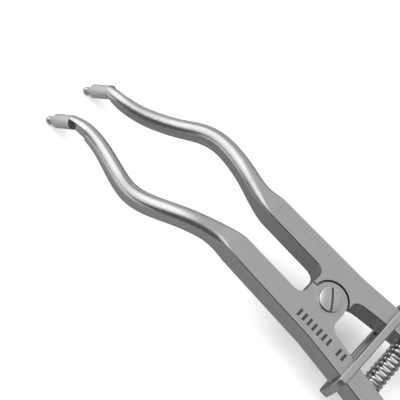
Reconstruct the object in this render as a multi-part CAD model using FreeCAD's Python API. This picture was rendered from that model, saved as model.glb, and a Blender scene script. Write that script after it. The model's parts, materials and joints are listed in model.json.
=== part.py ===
"""Rubber dam clamp forceps: two forged arms that turn on a slotted screw, a coil spring
between the handles, and a ring that slides along the handles to hold them squeezed.

Everything is drawn in the tool frame, in millimetres: the origin is the screw's axis at the
middle of the arms' thickness, +Y runs to the tips, +X to the right arm and +Z to the screw
head. seat() then lays the finished tool on a table, on its two ball tips and the ends of its
two handles, with +Z up and the origin under the middle of its outline.
"""

import math
import os

import FreeCAD, Part
from FreeCAD import Vector

# ---- arms: the straight bars either side of the joint --------------------------------------
BAR_THICK = 6.0  # along Z
BAR_EDGE_R = 0.35  # rounding of the bars' long edges
BAR_FRONT_Y = 21.5  # where each bar ends and its beak starts
BAR_BEND_Y = -2.0  # where the two bars start to spread
BAR_BACK_Y = -14.0  # where each bar ends and its handle starts
BAR_FRONT_IN, BAR_FRONT_OUT = 4.05, 9.2  # inner and outer side of a bar, from the middle
BAR_BEND_IN, BAR_BEND_OUT = 4.05, 9.75
BAR_BACK_IN, BAR_BACK_OUT = 6.1, 10.95

# ---- beaks: centre, width, thickness, and rounding of the top and the under corners ----------
BEAK = [  # x, y, z, width, thickness, top radius, under radius
    (6.64, 22.6, 0.0, 5.1, 5.92, 0.5, 0.45),
    (6.82, 24.6, -0.05, 4.8, 5.5, 1.05, 0.6),
    (7.4, 27.7, -0.15, 4.4, 4.9, 1.65, 0.8),
    (9.1, 32.9, -0.75, 4.2, 4.6, 1.95, 0.9),
    (11.0, 38.5, -2.85, 4.1, 4.45, 1.95, 0.9),
    (11.85, 43.6, -5.75, 4.05, 4.35, 1.92, 0.9),
    (10.75, 48.3, -8.8, 3.9, 4.2, 1.85, 0.9),
    (8.4, 53.6, -11.1, 3.75, 4.0, 1.78, 0.9),
    (6.35, 59.5, -12.5, 3.5, 3.7, 1.66, 0.95),
    (5.85, 64.4, -13.5, 3.35, 3.45, 1.58, 1.15),
]
SHANK_START = Vector(6.15, 67.0, -14.45)  # the round shank after the last bend
TIP_DROP = 55.5  # degrees that the shank points below the bars
SHANK_D, SHANK_LEN = 3.3, 6.8
SHANK_BEVEL_LEN, SHANK_BEVEL_IN = 0.3, 0.25  # broken edge between the shank and its cone
SHANK_STEP = 0.08  # the turned shank stands this much proud of the beak
SHANK_ROUND = 0.48  # corner radius of the beak where it meets the shank, in widths
CONE_LEN, NECK_D, NECK_LEN = 1.0, 1.25, 1.0
BALL_D, BALL_SINK = 1.9, 0.19  # the ball, and how far it sinks into the neck
NOTCH_LEN, NOTCH_DEPTH = 4.6, 1.0  # outside each beak, just behind the shank

# ---- lap joint -------------------------------------------------------------------------------
LUG_R = 4.0
LUG_GAP = 0.5  # between a lug's round end and the other arm's recess
LAYER_GAP = 0.03  # between each lug and the joint's middle plane
BRIDGE_TOP, BRIDGE_BOTTOM = 5.2, -4.1  # the fork's base and the rear window's edge
BRIDGE_CORNER_R = 1.8
BRIDGE_BITE, CORNER_BITE = 0.9, 0.6  # how far the plate and its corners run into the bars
HORN_GAP = 0.3  # from the middle to the recess's pointed horns
HEAD_D, HEAD_SEAT, HEAD_PROUD, HEAD_DOME = 5.4, 0.5, 0.65, 0.45
HEAD_POCKET_GAP = 0.07
DOME_VIA = 0.6  # where the dome's arc is pinned, as a share of the head's radius
SHOULDER_D, SHOULDER_GAP = 3.2, 0.03
THREAD_D, THREAD_LEAD = 2.6, 0.25
SLOT_WIDE, SLOT_DEEP, SLOT_ANGLE = 0.6, 0.7, 36.0

# ---- handles: x, y, width, thickness, corner radius ------------------------------------------
HANDLE = [
    (8.78, -16.0, 4.84, BAR_THICK, BAR_EDGE_R),
    (9.5, -22.0, 4.8, BAR_THICK, 0.5),
    (10.7, -34.0, 4.7, BAR_THICK, 0.8),
    (12.45, -48.0, 4.6, 6.1, 1.1),
    (15.1, -62.0, 4.6, 6.7, 1.5),
    (17.7, -76.0, 4.7, 7.3, 1.8),
    (19.2, -88.0, 4.8, 7.6, 1.9),
    (19.5, -98.0, 4.8, 7.6, 1.9),
]
HANDLE_END_X, HANDLE_END_Y = 19.4, -101.0
HANDLE_END_R = 1.7

# ---- spring between the handles --------------------------------------------------------------
SPRING_Y = -18.65
SPRING_OD, WIRE_D = 4.7, 0.8
SPRING_SLACK = 0.02  # both ends together
END_PITCH, END_TURNS, ACTIVE_TURNS = 0.84, 1.0, 7.0
TURN_POINTS = 12  # points per turn of the wire's path
SEAT_X, SEAT_DEEP, SEAT_EDGE = 6.25, 1.6, 0.15  # flat boss that each end stands on
SEAT_MARGIN = 0.35  # round the spring's end
SEAT_D = SPRING_OD + 2 * SEAT_MARGIN
PEG_OUT, PEG_IN, PEG_NOSE_R = 1.9, 2.2, 0.6
PEG_GAP = 0.2  # all round, inside the spring
PEG_D = SPRING_OD - 2 * WIRE_D - 2 * PEG_GAP

# ---- locking ring ------------------------------------------------------------------------------
RING_Y, RING_THICK = -12.1, 1.8  # its face on the tips' side, and its thickness
RING_SLOT_GAP = 0.35  # above and below the arms
RING_SLOT_HALF = 12.0
RING_BAR = 1.85  # width of its long bars
RING_END = 2.3  # width of its ends, in the middle
RING_END_SAG = 1.9
RING_EDGE_R, RING_SLOT_R, RING_CORNER_R = 0.3, 1.0, 1.0

CUT_PAST = 1.0  # cuts run this far past the face that they open in
ON_FACE = 0.01  # an edge this near to a face counts as lying on it


def section(centre, along, width, thick, radius, under=None):
    """A rounded rectangle square to the direction along, with its width level."""
    side = along.cross(Vector(0, 0, 1)).normalize()
    up = side.cross(along).normalize()
    under = radius if under is None else under

    def at(u, v):
        return centre + side * u + up * v

    arcs = []
    for across, upward, r in ((1, 1, radius), (-1, 1, radius), (-1, -1, under), (1, -1, under)):
        u, v = width / 2 - r, thick / 2 - r
        diagonal = r * math.sqrt(0.5)
        flat = at(across * u, upward * (v + r))
        upright = at(across * (u + r), upward * v)
        middle = at(across * (u + diagonal), upward * (v + diagonal))
        ends = (upright, flat) if across == upward else (flat, upright)
        arcs.append((ends[0], middle, ends[1]))
    edges = []
    for arc, following in zip(arcs, arcs[1:] + arcs[:1]):
        edges.append(Part.Arc(*arc).toShape())
        edges.append(Part.LineSegment(arc[2], following[0]).toShape())
    return Part.Wire(edges)


def bar_section(y, inner, outer):
    centre = Vector((inner + outer) / 2, y, 0)
    return section(centre, Vector(0, 1, 0), outer - inner, BAR_THICK, BAR_EDGE_R)


def direction(points, i):
    """The way a path runs at point i."""
    before, after = points[max(i - 1, 0)], points[min(i + 1, len(points) - 1)]
    return (after - before).normalize()


def loft(wires, straight=False):
    return Part.makeLoft(wires, True, straight)


def tip_direction():
    drop = math.radians(TIP_DROP)
    return Vector(0, math.cos(drop), -math.sin(drop))


def ball_reach():
    """From the shank's start to the ball's centre."""
    return SHANK_LEN + CONE_LEN + NECK_LEN + BALL_D / 2 - BALL_SINK


def ball_centre():
    return SHANK_START + tip_direction() * ball_reach()


def bar():
    """The straight part of the right arm, from beak to handle."""
    wires = [
        bar_section(BAR_FRONT_Y, BAR_FRONT_IN, BAR_FRONT_OUT),
        bar_section(BAR_BEND_Y, BAR_BEND_IN, BAR_BEND_OUT),
        bar_section(BAR_BACK_Y, BAR_BACK_IN, BAR_BACK_OUT),
    ]
    return loft(wires, straight=True)


def beak():
    """The right arm's curved beak, up to the round shank."""
    points = [Vector(*row[:3]) for row in BEAK] + [SHANK_START]
    wires = [bar_section(BAR_FRONT_Y, BAR_FRONT_IN, BAR_FRONT_OUT)]
    for i, row in enumerate(BEAK):
        along = Vector(0, 1, 0) if i == 0 else direction(points, i)
        wires.append(section(points[i], along, *row[3:]))
    end_wide = SHANK_D - 2 * SHANK_STEP
    end_round = end_wide * SHANK_ROUND
    wires.append(section(SHANK_START, tip_direction(), end_wide, end_wide, end_round))
    return loft(wires)


def tip():
    """Shank, shoulder, neck and ball, turned about the tip's axis."""
    r, neck, ball = SHANK_D / 2, NECK_D / 2, BALL_D / 2
    flank = SHANK_LEN + CONE_LEN
    centre = ball_reach()
    meets = centre - math.sqrt(ball**2 - neck**2)
    points = [
        Vector(0, 0, 0),
        Vector(r, 0, 0),
        Vector(r, SHANK_LEN - SHANK_BEVEL_LEN, 0),
        Vector(r - SHANK_BEVEL_IN, SHANK_LEN, 0),
        Vector(neck, flank, 0),
        Vector(neck, meets, 0),
    ]
    front = Vector(0, centre + ball, 0)
    edges = [Part.LineSegment(p, q).toShape() for p, q in zip(points, points[1:])]
    edges.append(Part.Arc(points[-1], Vector(ball, centre, 0), front).toShape())
    edges.append(Part.LineSegment(front, points[0]).toShape())
    turned = Part.Face(Part.Wire(edges)).revolve(Vector(0, 0, 0), Vector(0, 1, 0), 360)
    turned.rotate(Vector(0, 0, 0), Vector(1, 0, 0), -TIP_DROP)
    turned.translate(SHANK_START)
    return turned


def back_from_shank(distance):
    """The point on the beak's middle line that far behind the shank, and its way to the tip."""
    points = [SHANK_START] + [Vector(*row[:3]) for row in reversed(BEAK)]
    for near, far in zip(points, points[1:]):
        step = (far - near).Length
        if distance <= step:
            return near + (far - near) * (distance / step), (near - far).normalize()
        distance -= step


def notch():
    """What is cut from the outside of the beak, just behind the shank, to hold a clamp's bow."""
    corners = []
    _, bend_way = back_from_shank(NOTCH_LEN)
    for middle, way, sides in (
        (SHANK_START, tip_direction(), (1, -1)),
        (back_from_shank(NOTCH_LEN)[0], bend_way, (-1, 1)),
    ):
        up = Vector(0, -way.z, way.y).normalize()
        corners += [middle + up * SHANK_D * side for side in sides]
    floor_x = SHANK_START.x + SHANK_D / 2 - NOTCH_DEPTH
    outline = [Vector(floor_x, corner.y, corner.z) for corner in corners]
    face = Part.Face(Part.makePolygon(outline + outline[:1]))
    return face.extrude(Vector(SHANK_D, 0, 0))


def handle():
    """The right arm's handle, with its rounded end."""
    points = [Vector(x, y, 0) for x, y, _, _, _ in HANDLE]
    end = Vector(HANDLE_END_X, HANDLE_END_Y, 0)
    path = [Vector((BAR_BACK_IN + BAR_BACK_OUT) / 2, BAR_BACK_Y, 0)] + points + [end]
    wires = [bar_section(BAR_BACK_Y, BAR_BACK_IN, BAR_BACK_OUT)]
    for i, (_, _, width, thick, radius) in enumerate(HANDLE):
        wires.append(section(path[i + 1], direction(path, i + 1) * -1, width, thick, radius))
    wires.append(section(end, Vector(0, 1, 0), *HANDLE[-1][2:]))
    solid = loft(wires)
    rim = [e for e in solid.Edges if all(abs(v.Point.y - HANDLE_END_Y) < ON_FACE for v in e.Vertexes)]
    return solid.makeFillet(HANDLE_END_R, rim)


def slab(points, z0, z1):
    face = Part.Face(Part.makePolygon([Vector(x, y, z0) for x, y in points + [points[0]]]))
    return face.extrude(Vector(0, 0, z1 - z0))


def disc(radius, z0, z1, x=0.0, y=0.0):
    return Part.makeCylinder(radius, z1 - z0, Vector(x, y, z0))


def bridge_corner(side, edge, way):
    """Fills the corner where the plate's edge meets a bar, up to an arc that touches both."""
    half, r = BAR_THICK / 2, BRIDGE_CORNER_R
    slope = 0.0 if way > 0 else (BAR_BACK_IN - BAR_BEND_IN) / (BAR_BEND_Y - BAR_BACK_Y)
    slant = math.hypot(1, slope)
    y0 = edge + way * r
    x0 = BAR_BEND_IN + slope * (BAR_BEND_Y - y0) - r * slant
    touch_y = y0 + r * slope / slant
    wide = r * slant + CORNER_BITE
    left = x0 if side > 0 else -x0 - wide
    low = min(edge, touch_y)
    block = Part.makeBox(wide, abs(touch_y - edge), BAR_THICK, Vector(left, low, -half))
    return block.cut(disc(r, -half, half, side * x0, y0))


def bridge(reach):
    """The plate between the two bars, with round corners where it meets them."""
    size = (2 * reach, BRIDGE_TOP - BRIDGE_BOTTOM, BAR_THICK)
    plate = Part.makeBox(*size, Vector(-reach, BRIDGE_BOTTOM, -BAR_THICK / 2))
    corners = [bridge_corner(side, BRIDGE_TOP, 1) for side in (-1, 1)]
    corners += [bridge_corner(side, BRIDGE_BOTTOM, -1) for side in (-1, 1)]
    return plate.fuse(corners)


def joint_share(layer):
    """The right arm's part of the bridge. Its lug is in front with layer 1, behind with -1."""
    half = BAR_THICK / 2
    reach = BAR_BEND_IN + BRIDGE_BITE
    far = 3 * reach
    lug_side = slab([(0, -far), (far, -far), (far, far), (0, far)], -half, half)
    lug_side = lug_side.fuse(disc(LUG_R, -half, half))
    outline = [(HORN_GAP, -far), (far, -far), (far, far), (HORN_GAP, far)]
    horn_side = slab(outline, -half, half).cut(disc(LUG_R + LUG_GAP, -half, half))
    lug_z = (LAYER_GAP, half) if layer > 0 else (-half, -LAYER_GAP)
    horn_z = (-half, LAYER_GAP) if layer > 0 else (-LAYER_GAP, half)
    around = [(-far, -far), (far, -far), (far, far), (-far, far)]
    whole = bridge(reach)
    lug = whole.common(lug_side).common(slab(around, *lug_z))
    horns = whole.common(horn_side).common(slab(around, *horn_z))
    return lug, horns


def end_circle(shape, x):
    """The round edge at the end of a rod along X."""
    return [e for e in shape.Edges if abs(e.CenterOfMass.x - x) < ON_FACE and len(e.Vertexes) == 1]


def cross_rod(diameter, x, length):
    """A rod along X in line with the spring."""
    return Part.makeCylinder(diameter / 2, length, Vector(x, SPRING_Y, 0), Vector(1, 0, 0))


def seat_boss():
    """Flat seat for the spring on the inside of the right handle."""
    boss = cross_rod(SEAT_D, SEAT_X, SEAT_DEEP)
    return boss.makeChamfer(SEAT_EDGE, end_circle(boss, SEAT_X))


def right_arm_blank(layer):
    """An arm on the right side with its lug in the given layer, before the screw's holes."""
    body = bar().fuse([beak(), tip(), handle(), seat_boss()])
    recess_r = LUG_R + LUG_GAP
    half = BAR_THICK / 2
    if layer > 0:
        recess = disc(recess_r, -half - CUT_PAST, LAYER_GAP)
    else:
        recess = disc(recess_r, -LAYER_GAP, half + CUT_PAST)
    body = body.cut(recess).cut(notch())
    lug, horns = joint_share(layer)
    body = body.fuse([lug, horns])
    peg_hole = cross_rod(PEG_D, SEAT_X - CUT_PAST, PEG_IN + CUT_PAST)
    return body.cut(peg_hole).removeSplitter()


def left_arm():
    """The arm with the front lug, which the screw's head sits in."""
    arm = right_arm_blank(1).mirror(Vector(0, 0, 0), Vector(1, 0, 0))
    half = BAR_THICK / 2
    arm = arm.cut(disc(HEAD_D / 2 + HEAD_POCKET_GAP, half - HEAD_SEAT, half + CUT_PAST))
    return arm.cut(disc(SHOULDER_D / 2 + SHOULDER_GAP, -half, half))


def right_arm():
    """The arm with the rear lug, which the screw is threaded into."""
    return right_arm_blank(-1).cut(disc(THREAD_D / 2, -BAR_THICK, BAR_THICK / 2))


def pivot_screw():
    """Domed slotted head, plain shoulder, and a shank as thick as its thread."""
    half = BAR_THICK / 2
    seat_z, rim, r = half - HEAD_SEAT + LAYER_GAP, half + HEAD_PROUD, HEAD_D / 2
    crown = rim + HEAD_DOME
    shoulder, thread = SHOULDER_D / 2, THREAD_D / 2
    profile = [
        Vector(0, 0, -half),
        Vector(thread - THREAD_LEAD, 0, -half),
        Vector(thread, 0, -half + THREAD_LEAD),
        Vector(thread, 0, -LAYER_GAP),
        Vector(shoulder, 0, -LAYER_GAP),
        Vector(shoulder, 0, seat_z),
        Vector(r, 0, seat_z),
        Vector(r, 0, rim),
    ]
    top = Vector(0, 0, crown)
    via = Vector(r * DOME_VIA, 0, crown - HEAD_DOME * DOME_VIA**2)
    edges = [Part.LineSegment(p, q).toShape() for p, q in zip(profile, profile[1:])]
    edges.append(Part.Arc(profile[-1], via, top).toShape())
    edges.append(Part.LineSegment(top, profile[0]).toShape())
    screw = Part.Face(Part.Wire(edges)).revolve(Vector(0, 0, 0), Vector(0, 0, 1), 360)
    corner = Vector(-HEAD_D, -SLOT_WIDE / 2, crown - SLOT_DEEP)
    slot = Part.makeBox(2 * HEAD_D, SLOT_WIDE, SLOT_DEEP + CUT_PAST, corner)
    slot.rotate(Vector(0, 0, 0), Vector(0, 0, 1), SLOT_ANGLE)
    return screw.cut(slot)


def spring():
    """Compression spring with closed ends, its axis along X."""
    length = 2 * SEAT_X - WIRE_D - SPRING_SLACK
    radius = (SPRING_OD - WIRE_D) / 2
    active_pitch = (length - 2 * END_TURNS * END_PITCH) / ACTIVE_TURNS
    turns = 2 * END_TURNS + ACTIVE_TURNS
    points = []
    for i in range(int(turns * TURN_POINTS) + 1):
        turn = i / TURN_POINTS
        into = min(turn, END_TURNS) + max(0, turn - END_TURNS - ACTIVE_TURNS)
        x = -length / 2 + into * END_PITCH + (turn - into) * active_pitch
        angle = 2 * math.pi * turn
        points.append(Vector(x, SPRING_Y + radius * math.cos(angle), radius * math.sin(angle)))
    path = Part.BSplineCurve()
    path.interpolate(points)
    start, along = path.value(path.FirstParameter), path.tangent(path.FirstParameter)[0]
    profile = Part.Wire(Part.Circle(start, along, WIRE_D / 2).toShape())
    return Part.Wire(path.toShape()).makePipeShell([profile], True, True)


def right_peg():
    """Peg pressed into the right handle, which keeps the spring in place."""
    peg = cross_rod(PEG_D, SEAT_X - PEG_OUT, PEG_IN + PEG_OUT)
    return peg.makeFillet(PEG_NOSE_R, end_circle(peg, SEAT_X - PEG_OUT))


def left_peg():
    return right_peg().mirror(Vector(0, 0, 0), Vector(1, 0, 0))


def along_y(shape):
    """The edges that run along Y."""
    return [e for e in shape.Edges if abs(e.tangentAt(e.FirstParameter).y) > 1 - ON_FACE]


def in_plane(shape, y):
    """The edges that lie flat at that y."""
    return [e for e in shape.Edges if abs(e.BoundBox.YMin - y) + abs(e.BoundBox.YMax - y) < ON_FACE]


def lock_ring():
    """Plate with a long slot that both arms pass through. Its ends are arched."""
    slot_z = BAR_THICK / 2 + RING_SLOT_GAP
    high = slot_z + RING_BAR
    tip_x = RING_SLOT_HALF + RING_END
    corner_x = tip_x - RING_END_SAG
    y = RING_Y - RING_THICK
    a, b = Vector(corner_x, y, -high), Vector(corner_x, y, high)
    c, d = Vector(-corner_x, y, high), Vector(-corner_x, y, -high)
    edges = [
        Part.Arc(a, Vector(tip_x, y, 0), b).toShape(),
        Part.LineSegment(b, c).toShape(),
        Part.Arc(c, Vector(-tip_x, y, 0), d).toShape(),
        Part.LineSegment(d, a).toShape(),
    ]
    plate = Part.Face(Part.Wire(edges)).extrude(Vector(0, RING_THICK, 0))
    plate = plate.makeFillet(RING_CORNER_R, along_y(plate))
    corner = Vector(-RING_SLOT_HALF, y - CUT_PAST, -slot_z)
    slot = Part.makeBox(2 * RING_SLOT_HALF, RING_THICK + 2 * CUT_PAST, 2 * slot_z, corner)
    ring = plate.cut(slot.makeFillet(RING_SLOT_R, along_y(slot)))
    return ring.makeFillet(RING_EDGE_R, in_plane(ring, y) + in_plane(ring, RING_Y))


def rest_tilt():
    """Degrees that the bars rise towards the tips when the tool lies on tips and handles."""
    ball = ball_centre()
    heel_r = HANDLE_END_R
    heel_y, heel_z = HANDLE_END_Y + heel_r, -HANDLE[-1][3] / 2 + heel_r
    run, drop = ball.y - heel_y, heel_z - ball.z
    reach = math.hypot(run, drop)
    return math.degrees(math.atan2(drop, run) + math.asin((BALL_D / 2 - heel_r) / reach))


def seat_offset():
    """The tool frame's origin in the resting frame, once the tool has been tilted."""
    tilt = math.radians(rest_tilt())
    ball = ball_centre()
    low = ball.z * math.cos(tilt) + ball.y * math.sin(tilt) - BALL_D / 2
    front = ball.y * math.cos(tilt) - ball.z * math.sin(tilt) + BALL_D / 2
    end_flat = HANDLE[-1][3] / 2 - HANDLE_END_R
    heel_y = HANDLE_END_Y + HANDLE_END_R
    back = heel_y * math.cos(tilt) - end_flat * math.sin(tilt) - HANDLE_END_R
    return Vector(0, -(front + back) / 2, -low)


def seat(shape):
    """Lays a shape from the tool frame on the table."""
    placed = shape.copy()
    placed.rotate(Vector(0, 0, 0), Vector(1, 0, 0), rest_tilt())
    placed.translate(seat_offset())
    return placed


NODES = {
    "left_arm": left_arm,
    "right_arm": right_arm,
    "pivot_screw": pivot_screw,
    "spring": spring,
    "left_spring_peg": left_peg,
    "right_spring_peg": right_peg,
    "lock_ring": lock_ring,
}


def main():
    os.makedirs("parts", exist_ok=True)
    for name, make in NODES.items():
        shape = seat(make())
        shape.exportStep(f"parts/{name}.step")
        box = shape.BoundBox
        print(f"{name}: valid {shape.isValid()}, {len(shape.Solids)} solid(s), {shape.Volume:.1f} mm3")
        low = ", ".join(f"{v:.2f}" for v in (box.XMin, box.YMin, box.ZMin))
        high = ", ".join(f"{v:.2f}" for v in (box.XMax, box.YMax, box.ZMax))
        print(f"  from ({low}) to ({high})")
    origin = tuple(round(v, 6) for v in seat_offset())
    print(f"tilt {rest_tilt()} deg, origin of the tool frame at {origin}")


main()
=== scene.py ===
import json
import math

import bpy
from mathutils import Matrix, Vector


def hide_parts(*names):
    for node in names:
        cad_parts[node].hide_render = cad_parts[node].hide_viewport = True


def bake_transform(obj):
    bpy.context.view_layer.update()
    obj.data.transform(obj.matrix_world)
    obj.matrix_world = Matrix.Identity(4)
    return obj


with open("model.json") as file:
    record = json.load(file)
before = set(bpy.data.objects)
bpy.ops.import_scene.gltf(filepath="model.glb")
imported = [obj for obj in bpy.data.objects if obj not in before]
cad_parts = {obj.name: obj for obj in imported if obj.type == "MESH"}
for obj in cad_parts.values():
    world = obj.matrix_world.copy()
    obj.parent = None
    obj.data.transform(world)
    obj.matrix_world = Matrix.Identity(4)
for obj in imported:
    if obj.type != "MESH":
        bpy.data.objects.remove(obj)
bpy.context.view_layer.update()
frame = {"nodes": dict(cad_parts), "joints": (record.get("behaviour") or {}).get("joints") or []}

# ---- where the tool lies ---------------------------------------------------------------------
# The tool's own axes have their origin where the screw's axis crosses the middle of the arms.
MM = 0.001
HINGE = next(j for j in frame["joints"] if j["name"] == "squeeze")
PIVOT = Vector(HINGE["pos_m"])
TILT = math.atan2(HINGE["axis"][1], -HINGE["axis"][2])
ON_TABLE = Matrix.Translation(PIVOT) @ Matrix.Rotation(TILT, 4, "X")
UPWARDS = ON_TABLE.to_3x3() @ Vector((0, 0, 1))  # the way that the screw's head faces
ALONG = ON_TABLE.to_3x3() @ Vector((0, 1, 0))  # the way to the tips


def on_table(x, y, z):
    """A point given in millimetres along the tool's own axes, as a place on the table."""
    return ON_TABLE @ (Vector((x, y, z)) * MM)


# ---- sizes, in millimetres along the tool's own axes ------------------------------------------
POLISH_START, POLISH_END = 18.5, 24.0  # along the bar, where satin turns into polish
BAR_BACK, BAR_FRONT = (-34.0, -20.0), (18.5, 20.5)  # where the painted highlight and shade along the bars' edges fade
BAR_FACE = (2.9, 2.95)  # the mark starts between these heights, just under the flat face
MARK_MIDDLE_X, MARK_WIDE = -7.3, 1.9  # the mark is a plain row of bars along the left arm
MARK_PITCH, MARK_BAR = 1.45, 0.62
MARK_GROUPS = ((-4.5, 2.5), (-7.5, -5.5))  # where each group of bars starts and ends, in pitches
SLOT_ANGLE = math.radians(36.0)
SLOT_WIDE, SLOT_SOFT = 0.6, 0.015  # the screw's slot, and how softly its sides fade
SLOT_ABOVE = (3.3, 3.35)  # the slot's painted shade and the painted highlights on its lips and the head's rim start between these heights, just under its floor
LIP_WIDE, LIP_SOFT = 0.12, 0.03  # the painted highlights on the lips on both sides of the slot
HEAD_RIM_START = (2.45, 2.6)  # radii between which the painted highlight on the rim of the screw's head starts
SPRING_Y, SPRING_OD, SPRING_WIRE = -18.65, 4.7, 0.8
SPRING_HALF = 5.82  # from the middle to the centre of the last wire
CLOSED_PITCH, CLOSED_TURNS, OPEN_TURNS = 0.84, 1.0, 7.0

# ---- the spring's mesh -------------------------------------------------------------------------
STEPS_PER_TURN = 24
WIRE_ROUNDNESS = 4
SMOOTH_ANGLE = math.radians(40)
INWARD = "inward"  # the spring's attribute that is 1 on the inside of the coil, where the wire gets painted shade

# ---- looks -------------------------------------------------------------------------------------
# Grain is noise along the tool. A direction's number is how often it varies in a millimetre.
CLOUD_SIZE, POLISH_CLOUD_SIZE = 4.0, 6.0
NOISE_DETAIL, LINES_NOISE, CLOUDS_NOISE, NOISE_MIDDLE = 3.0, 0.6, 0.55, 0.5
SATIN_ACROSS, POLISH_ACROSS = (0.35, 3.6, 0.35), (4.0, 0.5, 4.0)
# How squarely a surface faces a direction, from 0 to 1, where each edge mask rises and falls.
RIM_RISE, RIM_FALL = (0.9, 0.96), (0.999, 0.985)
ROUND_RISE, ROUND_FALL = (0.1, 0.3), (0.93, 0.82)
# What a mask adds to a steel's tone, as a share of it: a painted highlight where it is positive and
# painted shade where it is negative, but for the etched mark, which is dark print.
SCREW_HIGHLIGHT, SLOT_SHADE = 0.35, -1.15
RING_RIM_HIGHLIGHT, WIRE_INSIDE_SHADE = 0.3, -0.75
ARM_RIM_HIGHLIGHT, ARM_ROUND_SHADE, MARK_DARK = 0.5, -0.4, -0.76
# The arms' own finish. The other steels have theirs where they are made.
ARM_TONE, ARM_BUMP = 0.6, 0.12
SATIN_LINES, SATIN_CLOUDS, POLISH_LINES, POLISH_CLOUDS = 0.3, 0.12, 0.06, 0.05
SATIN_ROUGH, POLISH_ROUGH, LINES_ROUGH, MARK_ROUGH = 0.3, 0.24, 0.12, 0.3
POLISH_HEIGHT = 0.15  # height of the lines on the beaks, as a share of that on the bars
ROUGH_SHARE = 0.5  # how much the lines change the roughness of a steel with one finish
BLUE_SHARE = 1.012  # steel is a little more blue than red
BUMP_DISTANCE = 0.00003  # metres

# ---- light and camera --------------------------------------------------------------------------
FLOOR_SIZE, FLOOR_TURN = 6.0, (0.07, 0.12)  # metres; its reflection turns paler between these Y
FLOOR_WHITE, FLOOR_NEAR, FLOOR_FAR = (0.95, 0.95, 0.95, 1.0), 0.2, 0.6
ROOM_COLOUR, ROOM_DIM = (1.0, 1.0, 1.0, 1.0), 0.12
BACKDROP = 0.97  # how bright the room looks to the camera itself
# Each soft bright area: the angles to its middle, the cosines where it starts and is full, its gain.
ROOM_LOBES = (((20, 60), 0.3, 0.85, 0.48), ((98, 40), 0.62, 0.98, 1.1))
TABLE_LIGHT_ANGLES = (200, 80)
TABLE_LIGHT_FAR, TABLE_LIGHT_SIZE, TABLE_LIGHT_RADIANCE = 1.2, 1.8, 2.6
SENSOR_WIDE, LENS, CLIP_START, CLIP_END = 36.0, 108.0, 0.01, 20.0
# The camera's place in millimetres, and its own three directions, along the tool's axes.
CAMERA_PLACE = (-127.12, 23.94, 224.19)
CAMERA_RIGHT = (0.6477, -0.6904, 0.3221)
CAMERA_UP = (0.5919, 0.7223, 0.3577)
CAMERA_BACK = (-0.4796, -0.0410, 0.8765)

FLOAT, VECTOR = "NodeSocketFloat", "NodeSocketVector"


# ---- small helpers for node trees ------------------------------------------------------------
def node(tree, kind, **inputs):
    """Adds a node. Inputs are given by their socket's name, with underscores for spaces."""
    made = tree.nodes.new(kind)
    for name, value in inputs.items():
        put(tree, value, made.inputs[name.replace("_", " ")])
    return made


def put(tree, value, socket):
    if isinstance(value, bpy.types.NodeSocket):
        tree.links.new(value, socket)
    else:
        socket.default_value = value


def calc(tree, operation, *values):
    """One Math node. Returns its output."""
    made = tree.nodes.new("ShaderNodeMath")
    made.operation = operation
    for socket, value in zip(made.inputs, values):
        put(tree, value, socket)
    return made.outputs[0]


def fade(tree, value, start, end, low=0.0, high=1.0):
    """Goes smoothly from low to high while value goes from start to end."""
    made = node(
        tree,
        "ShaderNodeMapRange",
        Value=value,
        From_Min=start,
        From_Max=end,
        To_Min=low,
        To_Max=high,
    )
    made.interpolation_type = "SMOOTHSTEP"
    return made.outputs["Result"]


def between(tree, value, low, high, soft=0.05):
    """1 while value lies between low and high."""
    rise = fade(tree, value, low - soft, low + soft)
    fall = fade(tree, value, high - soft, high + soft, 1.0, 0.0)
    return calc(tree, "MULTIPLY", rise, fall)


def new_group(name, inputs, outputs):
    """Makes a node group with these sockets. Returns it with its input and output nodes."""
    group = bpy.data.node_groups.new(name, "ShaderNodeTree")
    for label, kind, value in inputs:
        socket = group.interface.new_socket(label, in_out="INPUT", socket_type=kind)
        socket.default_value = value
    for label, kind in outputs:
        group.interface.new_socket(label, in_out="OUTPUT", socket_type=kind)
    return group, group.nodes.new("NodeGroupInput"), group.nodes.new("NodeGroupOutput")


def use(tree, group, **inputs):
    """Adds a node group to a tree. Returns its outputs."""
    made = tree.nodes.new("ShaderNodeGroup")
    made.node_tree = group
    for name, value in inputs.items():
        put(tree, value, made.inputs[name.replace("_", " ")])
    return made.outputs


# ---- effects that several steels share -------------------------------------------------------
def tool_place_group():
    """Coordinates along the tool's own axes, in millimetres."""
    outputs = [("Place", VECTOR), ("X", FLOAT), ("Y", FLOAT), ("Z", FLOAT)]
    group, _, result = new_group("place on the tool", [], outputs)
    place = group.nodes.new("ShaderNodeTexCoord")
    seen = place.outputs["Object"]
    turned = node(group, "ShaderNodeMapping", Vector=seen, Location=PIVOT, Rotation=(TILT, 0, 0))
    turned.vector_type = "TEXTURE"
    large = group.nodes.new("ShaderNodeVectorMath")
    large.operation = "SCALE"
    put(group, turned.outputs["Vector"], large.inputs[0])
    large.inputs["Scale"].default_value = 1 / MM
    split = node(group, "ShaderNodeSeparateXYZ", Vector=large.outputs[0])
    put(group, large.outputs[0], result.inputs["Place"])
    for axis in "XYZ":
        put(group, split.outputs[axis], result.inputs[axis])
    return group


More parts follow.
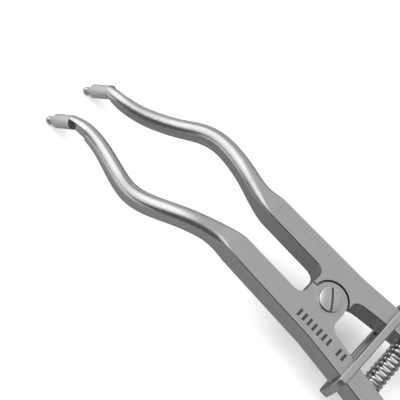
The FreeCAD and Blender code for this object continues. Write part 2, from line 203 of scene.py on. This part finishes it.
def grain_group():
    """Fine parallel scratches over soft clouds. Lines and clouds go from -0.5 to 0.5."""
    group, given, result = new_group(
        "brushed grain",
        [("Place", VECTOR, (0, 0, 0)), ("Across", VECTOR, (1, 1, 1)), ("Cloud Size", FLOAT, CLOUD_SIZE)],
        [("Lines", FLOAT), ("Clouds", FLOAT)],
    )
    stretched = group.nodes.new("ShaderNodeVectorMath")
    stretched.operation = "MULTIPLY"
    put(group, given.outputs["Place"], stretched.inputs[0])
    put(group, given.outputs["Across"], stretched.inputs[1])
    lines = node(group, "ShaderNodeTexNoise", Vector=stretched.outputs[0], Scale=1.0)
    clouds = node(group, "ShaderNodeTexNoise", Vector=given.outputs["Place"])
    for noise, roughness in ((lines, LINES_NOISE), (clouds, CLOUDS_NOISE)):
        put(group, NOISE_DETAIL, noise.inputs["Detail"])
        put(group, roughness, noise.inputs["Roughness"])
    put(group, calc(group, "DIVIDE", 1.0, given.outputs["Cloud Size"]), clouds.inputs["Scale"])
    put(group, calc(group, "SUBTRACT", lines.outputs["Fac"], NOISE_MIDDLE), result.inputs["Lines"])
    put(group, calc(group, "SUBTRACT", clouds.outputs["Fac"], NOISE_MIDDLE), result.inputs["Clouds"])
    return group


def edge_group():
    """Masks on rounded edges, from how squarely the surface faces a given direction of the tool.

    Rim is 1 on the thin line beside the flat face, and Round is 1 on the rounding itself.
    """
    group, given, result = new_group(
        "rounded edges", [("Facing", VECTOR, (0, 0, 1))], [("Rim", FLOAT), ("Round", FLOAT)]
    )
    surface = group.nodes.new("ShaderNodeTexCoord")
    dot = group.nodes.new("ShaderNodeVectorMath")
    dot.operation = "DOT_PRODUCT"
    put(group, surface.outputs["Normal"], dot.inputs[0])
    put(group, given.outputs["Facing"], dot.inputs[1])
    square = calc(group, "ABSOLUTE", dot.outputs["Value"])
    rim = calc(group, "MULTIPLY", fade(group, square, *RIM_RISE), fade(group, square, *RIM_FALL))
    rise, fall = fade(group, square, *ROUND_RISE), fade(group, square, *ROUND_FALL)
    rounding = calc(group, "MULTIPLY", rise, fall)
    put(group, rim, result.inputs["Rim"])
    put(group, rounding, result.inputs["Round"])
    return group


PLACE = tool_place_group()
GRAIN = grain_group()
EDGES = edge_group()


def blend_values(tree, mask, plain, masked):
    """plain where mask is 0, masked where it is 1."""
    made = tree.nodes.new("ShaderNodeMix")
    for name, value in (("Factor", mask), ("A", plain), ("B", masked)):
        put(tree, value, made.inputs[name])
    return made.outputs["Result"]


def start_steel(name):
    """Makes a metal. Returns it with its node tree and its shader."""
    material = bpy.data.materials.new(name)
    material.use_nodes = True
    tree = material.node_tree
    shader = tree.nodes["Principled BSDF"]
    shader.inputs["Metallic"].default_value = 1.0
    return material, tree, shader


def finish_steel(tree, shader, tone, roughness, height, bump):
    """Wires a grey tone, a roughness and a height in 0..1 to the shader."""
    blue = calc(tree, "MULTIPLY", tone, BLUE_SHARE)
    grey = node(tree, "ShaderNodeCombineColor", Red=tone, Green=tone, Blue=blue)
    put(tree, grey.outputs["Color"], shader.inputs["Base Color"])
    put(tree, roughness, shader.inputs["Roughness"])
    relief = node(tree, "ShaderNodeBump", Strength=bump, Distance=BUMP_DISTANCE, Height=height)
    put(tree, relief.outputs["Normal"], shader.inputs["Normal"])


def grain_change(tree, place, across, depth, cloud):
    """How much a brushed finish changes a steel's tone from place to place, and its lines."""
    grain = use(tree, GRAIN, Place=place["Place"], Across=across)
    clouds = calc(tree, "MULTIPLY", grain["Clouds"], cloud)
    return calc(tree, "MULTIPLY_ADD", grain["Lines"], depth, clouds), grain["Lines"]


def finish_grained(tree, shader, change, lines, tone, roughness, bump):
    """Wires a steel with one finish all over."""
    toned = calc(tree, "MULTIPLY", calc(tree, "ADD", change, 1.0), tone)
    rough = calc(tree, "MULTIPLY_ADD", lines, roughness * ROUGH_SHARE, roughness)
    finish_steel(tree, shader, toned, rough, lines, bump)


def screw_steel():
    """Turned steel. Painted shade darkens the inside of the screw's slot, and painted highlights
    brighten its lips and the rim of the head.
    """
    material, tree, shader = start_steel("turned screw steel")
    place = use(tree, PLACE)
    change, lines = grain_change(tree, place, across=(0.8, 0.8, 0.4), depth=0.12, cloud=0.08)
    across = calc(tree, "MULTIPLY", place["X"], -math.sin(SLOT_ANGLE))
    across = calc(tree, "MULTIPLY_ADD", place["Y"], math.cos(SLOT_ANGLE), across)
    above = fade(tree, place["Z"], *SLOT_ABOVE)
    # painted shade inside the slot; painted highlights on its lips and on the rim of the head
    half = SLOT_WIDE / 2
    outer = half + LIP_WIDE
    slot = calc(tree, "MULTIPLY", between(tree, across, -half, half, SLOT_SOFT), above)
    lips = calc(tree, "MULTIPLY", between(tree, across, -outer, outer, LIP_SOFT), above)
    square = calc(tree, "MULTIPLY", place["X"], place["X"])
    radius = calc(tree, "SQRT", calc(tree, "MULTIPLY_ADD", place["Y"], place["Y"], square))
    rim = calc(tree, "MULTIPLY", fade(tree, radius, *HEAD_RIM_START), above)
    change = calc(tree, "MULTIPLY_ADD", calc(tree, "MAXIMUM", rim, lips), SCREW_HIGHLIGHT, change)
    change = calc(tree, "MULTIPLY_ADD", slot, SLOT_SHADE, change)
    finish_grained(tree, shader, change, lines, tone=0.66, roughness=0.2, bump=0.02)
    return material


def peg_steel():
    """Turned steel, duller than the screw's, for the two pegs inside the spring."""
    material, tree, shader = start_steel("turned peg steel")
    change, lines = grain_change(
        tree, use(tree, PLACE), across=(0.5, 6.0, 6.0), depth=0.14, cloud=0.1
    )
    finish_grained(tree, shader, change, lines, tone=0.6, roughness=0.27, bump=0.1)
    return material


def ring_steel():
    """Satin plate with painted highlights as bright lines beside its rounded rims."""
    material, tree, shader = start_steel("satin ring steel")
    change, lines = grain_change(
        tree, use(tree, PLACE), across=(0.3, 1.6, 1.6), depth=0.06, cloud=0.05
    )
    edges = use(tree, EDGES, Facing=ALONG)
    # painted highlight beside the rounded rims
    change = calc(tree, "MULTIPLY_ADD", edges["Rim"], RING_RIM_HIGHLIGHT, change)
    finish_grained(tree, shader, change, lines, tone=0.62, roughness=0.26, bump=0.015)
    return material


def wire_steel():
    """Bright drawn wire, with painted shade on the side of each turn that faces into the coil."""
    material, tree, shader = start_steel("bright spring wire")
    change, lines = grain_change(
        tree, use(tree, PLACE), across=(2.0, 2.0, 2.0), depth=0.08, cloud=0.08
    )
    inward = tree.nodes.new("ShaderNodeAttribute")
    inward.attribute_name = INWARD
    # painted shade on the side of each turn that faces into the coil
    change = calc(tree, "MULTIPLY_ADD", inward.outputs["Fac"], WIRE_INSIDE_SHADE, change)
    finish_grained(tree, shader, change, lines, tone=0.86, roughness=0.11, bump=0.06)
    return material


# ---- the arms: satin bars, polished beaks, an etched mark -------------------------------------
def etched_mark(tree, place):
    """Mask of the etched bars on the flat face of the left arm."""
    face = fade(tree, place["Z"], *BAR_FACE)
    half = MARK_WIDE / 2
    row = between(tree, place["X"], MARK_MIDDLE_X - half, MARK_MIDDLE_X + half)
    groups = []
    for back, front in MARK_GROUPS:
        groups.append(between(tree, place["Y"], back * MARK_PITCH, front * MARK_PITCH))
    length = calc(tree, "ADD", *groups)
    step = calc(tree, "WRAP", place["Y"], MARK_PITCH / 2, -MARK_PITCH / 2)
    bars = between(tree, step, -MARK_BAR / 2, MARK_BAR / 2)
    on_row = calc(tree, "MULTIPLY", face, row)
    return calc(tree, "MULTIPLY", on_row, calc(tree, "MULTIPLY", length, bars))


def edge_lines(tree, y, change):
    """Adds a painted highlight as a bright line and painted shade on the rounding along the edges of the
    bars.
    """
    edges = use(tree, EDGES, Facing=UPWARDS)
    on_bar = calc(tree, "MULTIPLY", fade(tree, y, *BAR_FRONT, 1.0, 0.0), fade(tree, y, *BAR_BACK))
    # painted highlight on the rim beside the flat face, painted shade on the rounding
    for mask, share in (("Rim", ARM_RIM_HIGHLIGHT), ("Round", ARM_ROUND_SHADE)):
        there = calc(tree, "MULTIPLY", edges[mask], on_bar)
        change = calc(tree, "MULTIPLY_ADD", there, share, change)
    return change


def arm_steel():
    """Satin on the bars and handles, polish on the beaks."""
    material, tree, shader = start_steel("arm steel")
    place = use(tree, PLACE)
    satin = use(tree, GRAIN, Place=place["Place"], Across=SATIN_ACROSS)
    brushed = use(
        tree, GRAIN, Place=place["Place"], Across=POLISH_ACROSS, Cloud_Size=POLISH_CLOUD_SIZE
    )
    polish = fade(tree, place["Y"], POLISH_START, POLISH_END)
    mark = etched_mark(tree, place)
    satin_tone = calc(tree, "MULTIPLY", satin["Clouds"], SATIN_CLOUDS)
    satin_tone = calc(tree, "MULTIPLY_ADD", satin["Lines"], SATIN_LINES, satin_tone)
    polish_tone = calc(tree, "MULTIPLY", brushed["Clouds"], POLISH_CLOUDS)
    polish_tone = calc(tree, "MULTIPLY_ADD", brushed["Lines"], POLISH_LINES, polish_tone)
    change = blend_values(tree, polish, satin_tone, polish_tone)
    change = edge_lines(tree, place["Y"], change)
    change = calc(tree, "MULTIPLY_ADD", mark, MARK_DARK, change)
    tone = calc(tree, "MULTIPLY", calc(tree, "ADD", change, 1.0), ARM_TONE)
    rough = blend_values(tree, polish, SATIN_ROUGH, POLISH_ROUGH)
    rough = calc(tree, "MULTIPLY_ADD", satin["Lines"], LINES_ROUGH, rough)
    rough = calc(tree, "MULTIPLY_ADD", mark, MARK_ROUGH, rough)
    share = blend_values(tree, polish, 1.0, POLISH_HEIGHT)
    height = calc(tree, "MULTIPLY", satin["Lines"], share)
    height = calc(tree, "SUBTRACT", height, mark)
    finish_steel(tree, shader, tone, rough, height, ARM_BUMP)
    return material


ARM = arm_steel()
PEG = peg_steel()
WIRE = wire_steel()


def dress(name, material):
    """Gives a CAD node its finish."""
    piece = frame["nodes"][name]
    piece.data.materials.clear()
    piece.data.materials.append(material)


dress("left_arm", ARM)
dress("right_arm", ARM)
dress("pivot_screw", screw_steel())
dress("left_spring_peg", PEG)
dress("right_spring_peg", PEG)
dress("lock_ring", ring_steel())

# ---- the spring --------------------------------------------------------------------------------
def spring_point(turn):
    """Centre of the wire after that many turns, with the last turn at each end closed."""
    open_pitch = (2 * SPRING_HALF - 2 * CLOSED_TURNS * CLOSED_PITCH) / OPEN_TURNS
    opened = min(max(turn - CLOSED_TURNS, 0.0), OPEN_TURNS)
    along = -SPRING_HALF + opened * open_pitch + (turn - opened) * CLOSED_PITCH
    radius = (SPRING_OD - SPRING_WIRE) / 2
    angle = 2 * math.pi * turn
    return on_table(along, SPRING_Y + radius * math.cos(angle), radius * math.sin(angle))


def mark_inside(mesh):
    """Stores how far each point of the wire faces into the coil, from 0 to 1."""
    inward = mesh.attributes.new(INWARD, "FLOAT", "POINT")
    back = ON_TABLE.inverted()
    middle = (SPRING_OD - SPRING_WIRE) / 2
    for vertex in mesh.vertices:
        _, y, z = back @ vertex.co / MM
        depth = (middle - math.hypot(y - SPRING_Y, z)) / (SPRING_WIRE / 2)
        inward.data[vertex.index].value = min(max(depth, 0.0), 1.0)


def coil_spring():
    """The spring as a coil of wire, stretched between the arms."""
    bpy.ops.curve.primitive_nurbs_path_add(location=(0, 0, 0))
    coil = bpy.context.object
    coil.name = "return_spring"
    coil.data.splines.clear()
    line = coil.data.splines.new("POLY")
    count = int((2 * CLOSED_TURNS + OPEN_TURNS) * STEPS_PER_TURN) + 1
    line.points.add(count - 1)
    for i, point in enumerate(line.points):
        point.co = (*spring_point(i / STEPS_PER_TURN), 1.0)
    coil.data.bevel_depth = SPRING_WIRE / 2 * MM
    coil.data.bevel_resolution = WIRE_ROUNDNESS
    coil.data.use_fill_caps = True
    bpy.ops.object.convert(target="MESH")
    coil = bpy.context.object
    bpy.ops.object.shade_smooth_by_angle(angle=SMOOTH_ANGLE)
    mark_inside(coil.data)
    coil.data.materials.clear()
    coil.data.materials.append(WIRE)
    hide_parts("spring")
    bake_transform(coil)


bpy.ops.object.select_all(action="DESELECT")
coil_spring()


# ---- floor, light and camera -----------------------------------------------------------------
def way_to(azimuth, elevation):
    """The direction of a light, from its angle round +Z and its angle above the table."""
    turned = Matrix.Rotation(math.radians(azimuth), 3, "Z")
    raised = Matrix.Rotation(math.radians(-elevation), 3, "Y")
    return turned @ raised @ Vector((1, 0, 0))


def floor():
    """A pale table. In reflections it is grey beside the tool and paler beyond its tips."""
    bpy.ops.mesh.primitive_plane_add(size=FLOOR_SIZE, location=(0, 0, 0))
    ground = bpy.context.object
    ground.name = "floor"
    material = bpy.data.materials.new("pale table")
    material.use_nodes = True
    tree = material.node_tree
    tree.nodes.remove(tree.nodes["Principled BSDF"])
    place = tree.nodes.new("ShaderNodeTexCoord")
    split = node(tree, "ShaderNodeSeparateXYZ", Vector=place.outputs["Object"])
    grey = fade(tree, split.outputs["Y"], *FLOOR_TURN, FLOOR_NEAR, FLOOR_FAR)
    seen = node(tree, "ShaderNodeBsdfDiffuse", Color=FLOOR_WHITE)
    mirrored = node(tree, "ShaderNodeBsdfDiffuse", Color=grey)
    path = tree.nodes.new("ShaderNodeLightPath")
    mix = tree.nodes.new("ShaderNodeMixShader")
    put(tree, path.outputs["Is Glossy Ray"], mix.inputs[0])
    put(tree, seen.outputs[0], mix.inputs[1])
    put(tree, mirrored.outputs[0], mix.inputs[2])
    put(tree, mix.outputs[0], tree.nodes["Material Output"].inputs["Surface"])
    ground.data.materials.append(material)


def area_light(name, way, distance, size, radiance):
    """A square light that faces the tool. Its power follows from how bright it looks."""
    data = bpy.data.lights.new(name, "AREA")
    data.size = size
    data.energy = radiance * math.pi * size * size
    lamp = bpy.data.objects.new(name, data)
    bpy.context.scene.collection.objects.link(lamp)
    lamp.location = way * distance
    lamp.rotation_euler = way.to_track_quat("Z", "Y").to_euler()
    return lamp


def room_light():
    """A dim room with soft bright areas, which the camera itself sees as a plain backdrop."""
    world = bpy.data.worlds.new("soft room")
    world.use_nodes = True
    tree = world.node_tree
    place = tree.nodes.new("ShaderNodeTexCoord")
    strength = ROOM_DIM
    for angles, start, end, gain in ROOM_LOBES:
        towards = tree.nodes.new("ShaderNodeVectorMath")
        towards.operation = "DOT_PRODUCT"
        put(tree, place.outputs["Generated"], towards.inputs[0])
        towards.inputs[1].default_value = way_to(*angles)
        lobe = fade(tree, towards.outputs["Value"], start, end, 0.0, gain)
        strength = calc(tree, "ADD", lobe, strength)
    background = tree.nodes["Background"]
    background.inputs["Color"].default_value = ROOM_COLOUR
    path = tree.nodes.new("ShaderNodeLightPath")
    strength = blend_values(tree, path.outputs["Is Camera Ray"], strength, BACKDROP)
    put(tree, strength, background.inputs["Strength"])
    bpy.context.scene.world = world


def camera():
    """The camera, placed along the tool's own axes."""
    data = bpy.data.cameras.new("camera")
    data.sensor_width = SENSOR_WIDE
    data.lens = LENS
    data.clip_start = CLIP_START
    data.clip_end = CLIP_END
    seen = bpy.data.objects.new("camera", data)
    bpy.context.scene.collection.objects.link(seen)
    turn = Matrix((CAMERA_RIGHT, CAMERA_UP, CAMERA_BACK)).transposed().to_4x4()
    place = Matrix.Translation(Vector(CAMERA_PLACE) * MM)
    seen.matrix_world = ON_TABLE @ place @ turn
    bpy.context.scene.camera = seen


floor()
room_light()
table_light = area_light(
    "table light",
    way_to(*TABLE_LIGHT_ANGLES),
    TABLE_LIGHT_FAR,
    TABLE_LIGHT_SIZE,
    TABLE_LIGHT_RADIANCE,
)
table_light.visible_glossy = False
camera()
bpy.context.scene.view_settings.view_transform = "Standard"
